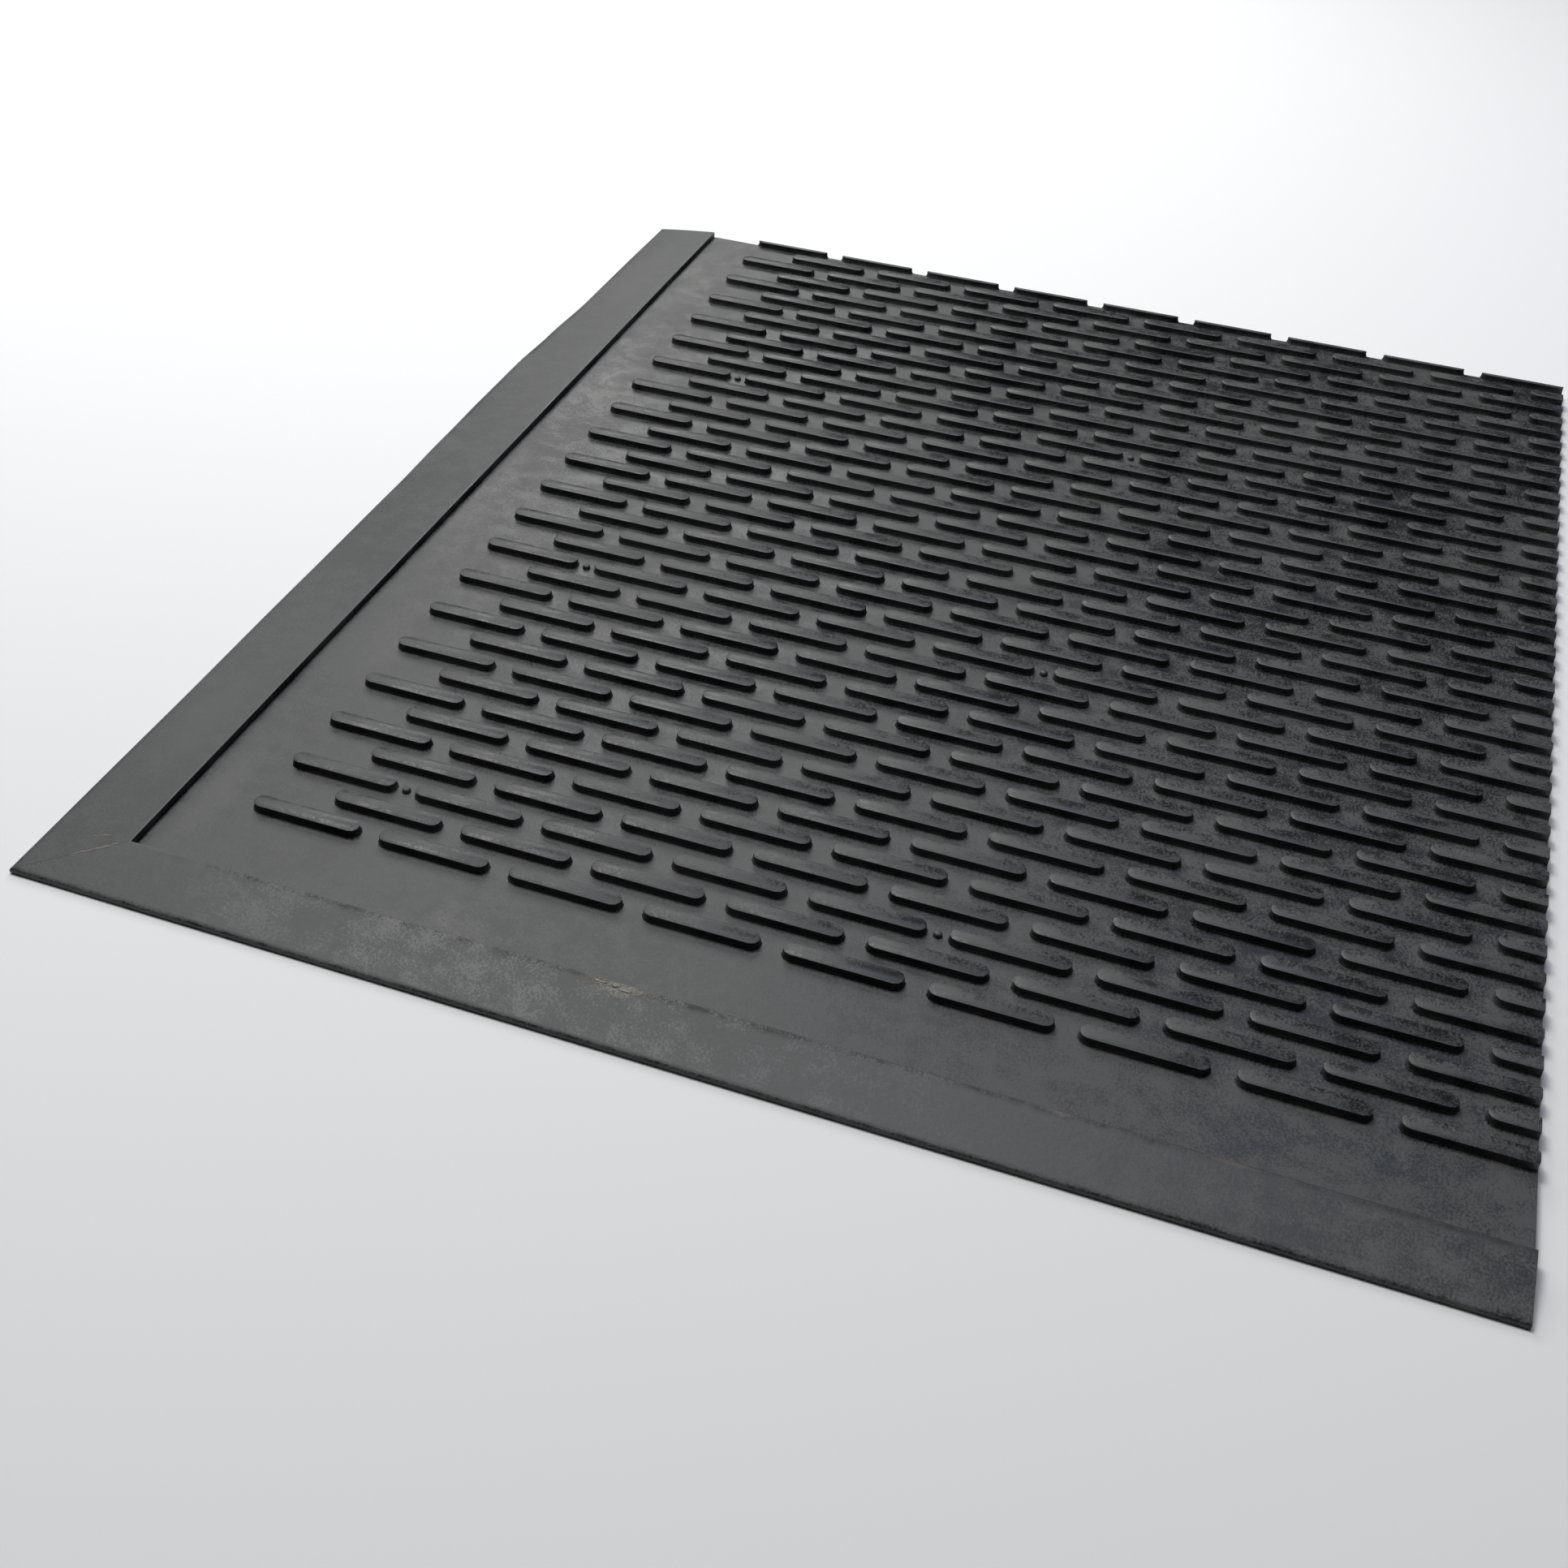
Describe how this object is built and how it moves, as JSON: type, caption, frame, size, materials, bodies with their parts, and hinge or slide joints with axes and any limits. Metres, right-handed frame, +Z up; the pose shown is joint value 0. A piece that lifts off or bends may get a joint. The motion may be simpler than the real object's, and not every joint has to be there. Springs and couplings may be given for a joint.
{
  "type": "rubber scraper mat",
  "caption": "Flat black rubber scraper mat: a sheet with raised oblong cleats in a brick pattern, and ramped edging strips glued along its left side and front.",
  "frame": {"origin": "centre of the bounding box, on the floor under the mat", "axes": "+X along the cleats, from the side edging to the right-hand cut; +Y away from the front edging; +Z up, towards the cleats"},
  "size_m": [0.501, 0.59, 0.006],
  "materials": {
    "sheet_rubber": "matt moulded charcoal rubber",
    "edging_rubber": "matt charcoal rubber, a little dusty"
  },
  "bodies": {
    "root": {"cleated_sheet": "sheet_rubber", "side_edging": "edging_rubber", "front_edging": "edging_rubber"}
  },
  "joints": []
}
